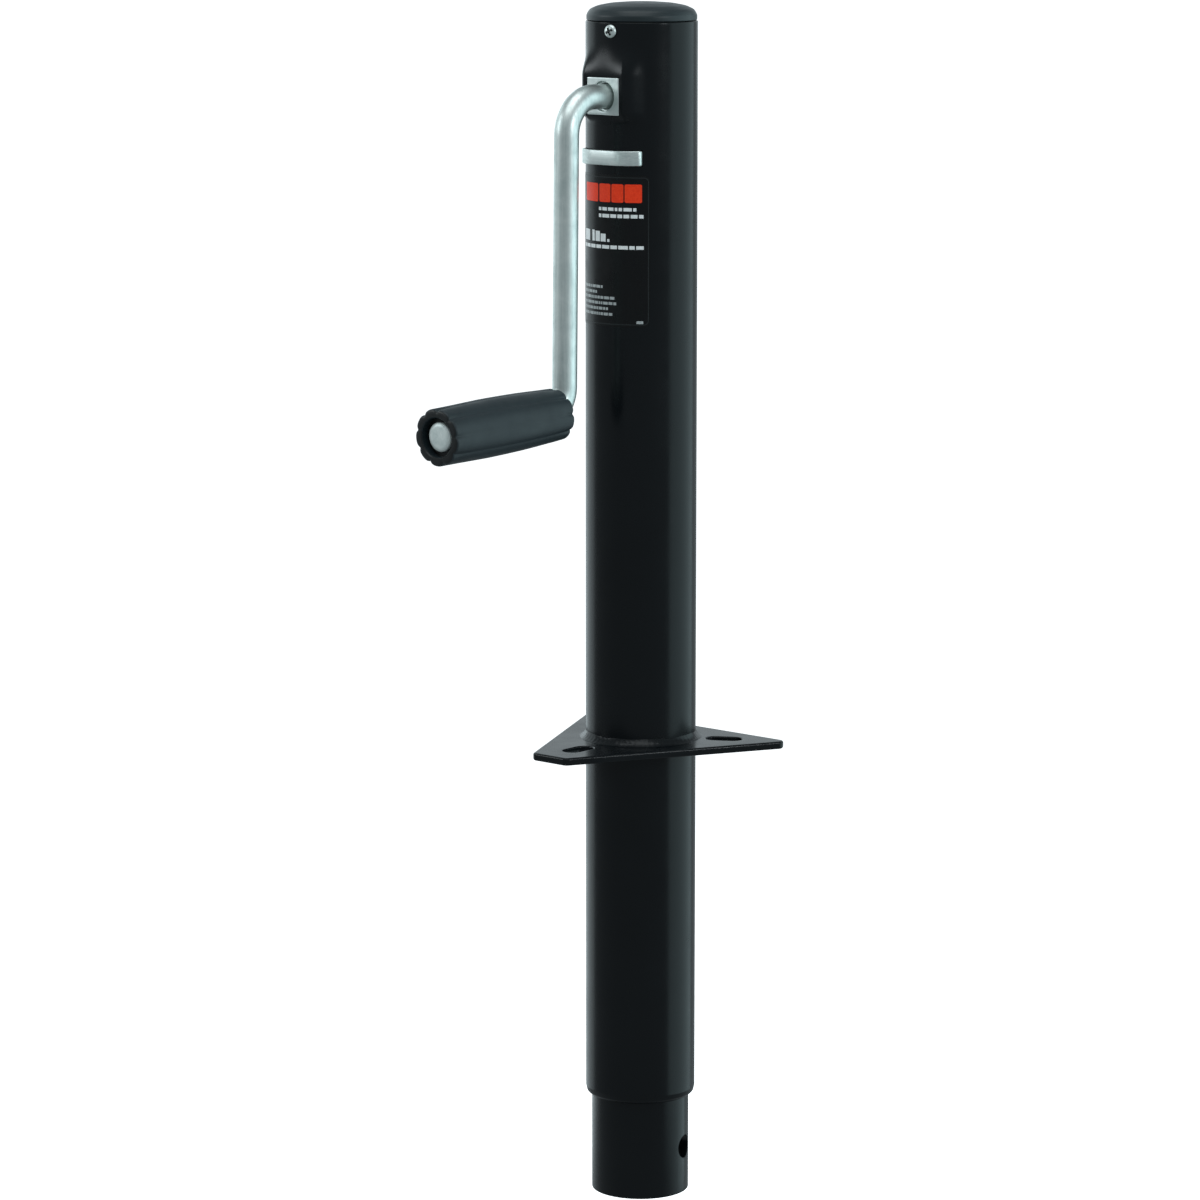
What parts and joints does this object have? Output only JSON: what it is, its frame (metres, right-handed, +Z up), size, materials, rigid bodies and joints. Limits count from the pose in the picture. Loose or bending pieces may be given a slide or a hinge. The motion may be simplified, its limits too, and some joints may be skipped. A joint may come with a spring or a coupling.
{
  "type": "trailer tongue jack",
  "caption": "Side-wind trailer tongue jack: black steel tube with a triangular bolt-on flange, a plated crank with a black grip, and a leg that screws down out of the tube.",
  "frame": {"origin": "centre of the mounting flange's underside, on the tube's axis, where the jack seats on the trailer tongue", "axes": "+Z up along the tube's axis, -Y out along the crank's spindle and grip, +X to the right of someone who faces the crank"},
  "size_m": [0.1312, 0.1939, 0.6221],
  "materials": {
    "black_paint": "satin black powder coat",
    "zinc": "bright zinc plate with faint drawing streaks",
    "black_plastic": "moulded black plastic, satin",
    "label": "black printed vinyl with plain coloured blocks",
    "gear_steel": "machined steel, oiled",
    "bright_steel": "ground steel, greased"
  },
  "bodies": {
    "jack_body": {"outer_tube": "black_paint", "mounting_flange": "black_paint", "flange_weld": "black_paint", "top_cap": "black_plastic", "cap_screw_front": "zinc", "cap_screw_rear": "zinc", "label": "label", "crank_bush_front": "zinc", "crank_bush_rear": "zinc", "seat_clip": "zinc", "bearing_seat": "gear_steel", "bearing_upper_race": "bright_steel"},
    "crank": {"crank_rod": "zinc", "bevel_pinion": "gear_steel", "pinion_pin": "bright_steel", "spindle_ring": "zinc", "grip_rivet": "zinc"},
    "crank_grip": {"grip": "black_plastic"},
    "screw": {"lead_screw": "bright_steel", "bevel_gear": "gear_steel", "gear_pin": "bright_steel", "gear_washer": "bright_steel", "bearing_balls": "bright_steel", "bearing_lower_race": "bright_steel", "stop_washer": "bright_steel", "stop_pin": "bright_steel"},
    "leg": {"inner_tube": "black_paint", "drive_nut": "gear_steel", "nut_pin_left": "bright_steel", "nut_pin_right": "bright_steel"}
  },
  "joints": [
    {"name": "crank_turn", "type": "hinge", "parent": "jack_body", "child": "crank", "pos_m": [0, 0, 0.3366], "axis": [0, 1, 0], "range_deg": [0, 40500]},
    {"name": "grip_spin", "type": "hinge", "parent": "crank", "child": "crank_grip", "pos_m": [0, -0.11, 0.17684], "axis": [0, -0.9993, -0.0366], "continuous": true},
    {"name": "screw_spin", "type": "hinge", "parent": "jack_body", "child": "screw", "pos_m": [0, 0, 0.3], "axis": [0, 0, 1], "range_deg": [-27000, 0]},
    {"name": "leg_slide", "type": "slide", "parent": "jack_body", "child": "leg", "axis": [0, 0, -1], "range_m": [0, 0.381]}
  ],
  "couplings": [
    {"joint": "screw_spin", "follows": "crank_turn", "ratio": -0.66667},
    {"joint": "leg_slide", "follows": "crank_turn", "m_per_rad": 0.000539}
  ]
}
